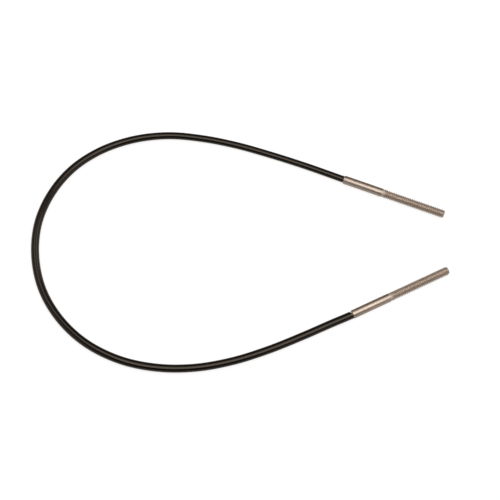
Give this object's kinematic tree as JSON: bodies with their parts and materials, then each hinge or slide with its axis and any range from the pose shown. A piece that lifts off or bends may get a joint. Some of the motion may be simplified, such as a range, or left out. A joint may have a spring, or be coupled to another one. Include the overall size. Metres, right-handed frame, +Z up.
{
  "type": "cable shutter release",
  "caption": "Slim sheathed push cable laid in an open loop, with a long threaded metal fitting at each end; pressing a pin in one end drives a pin out of the other.",
  "frame": {"origin": "on the table, at the bottom centre of the box round the two end fittings", "axes": "+Z up off the table; both fittings point towards +X, the camera end on the +Y side and the trigger end on the -Y side; the loop lies towards -X"},
  "size_m": [0.2328, 0.1477, 0.0048],
  "materials": {
    "black_sheath": "semi-gloss warm black plastic sheath",
    "casing_steel": "bright wound spring steel, lightly oiled",
    "liner_plastic": "natural nylon, satin",
    "stranded_wire": "stranded steel wire, lightly oiled",
    "fitting_metal": "turned and nickel plated, satin, warm tint",
    "bush_brass": "turned brass",
    "ferrule_steel": "turned steel, plain",
    "pin_steel": "ground bright steel",
    "socket_brass": "drawn brass tube, soldered",
    "spring_steel": "music wire, dark bright",
    "washer_steel": "stamped steel"
  },
  "bodies": {
    "cable": {"outer_sheath": "black_sheath", "wound_casing": "casing_steel", "inner_liner": "liner_plastic", "push_wire": "stranded_wire", "camera_ferrule": "ferrule_steel", "trigger_ferrule": "ferrule_steel"},
    "camera_end": {"camera_fitting": "fitting_metal", "camera_bush": "bush_brass", "return_spring": "spring_steel", "spring_washer": "washer_steel"},
    "trigger_end": {"trigger_fitting": "fitting_metal", "trigger_bush": "bush_brass", "buffer_washer": "liner_plastic"},
    "tip_rod": {"tip_pin": "pin_steel", "camera_wire_socket": "socket_brass", "spring_collar": "bush_brass"},
    "drive_rod": {"drive_pin": "pin_steel", "trigger_wire_socket": "socket_brass", "stop_collar": "bush_brass"}
  },
  "joints": [
    {"name": "camera_fitting_turn", "type": "hinge", "parent": "cable", "child": "camera_end", "pos_m": [-0.0282, 0.0416, 0.0024], "axis": [0.9304, -0.3665, 0], "continuous": true},
    {"name": "trigger_fitting_turn", "type": "hinge", "parent": "cable", "child": "trigger_end", "pos_m": [-0.0254, -0.0417, 0.0024], "axis": [0.8949, 0.4462, 0], "continuous": true},
    {"name": "tip_pin_slide", "type": "slide", "parent": "camera_end", "child": "tip_rod", "axis": [0.9304, -0.3665, 0], "range_m": [0, 0.008], "stiffness_N_per_m": 250, "springref_m": -0.004, "deforming": ["return_spring"]},
    {"name": "drive_pin_slide", "type": "slide", "parent": "trigger_end", "child": "drive_rod", "axis": [-0.8949, -0.4462, 0], "range_m": [0, 0.008]}
  ],
  "couplings": [
    {"joint": "tip_pin_slide", "follows": "drive_pin_slide", "ratio": 1}
  ]
}
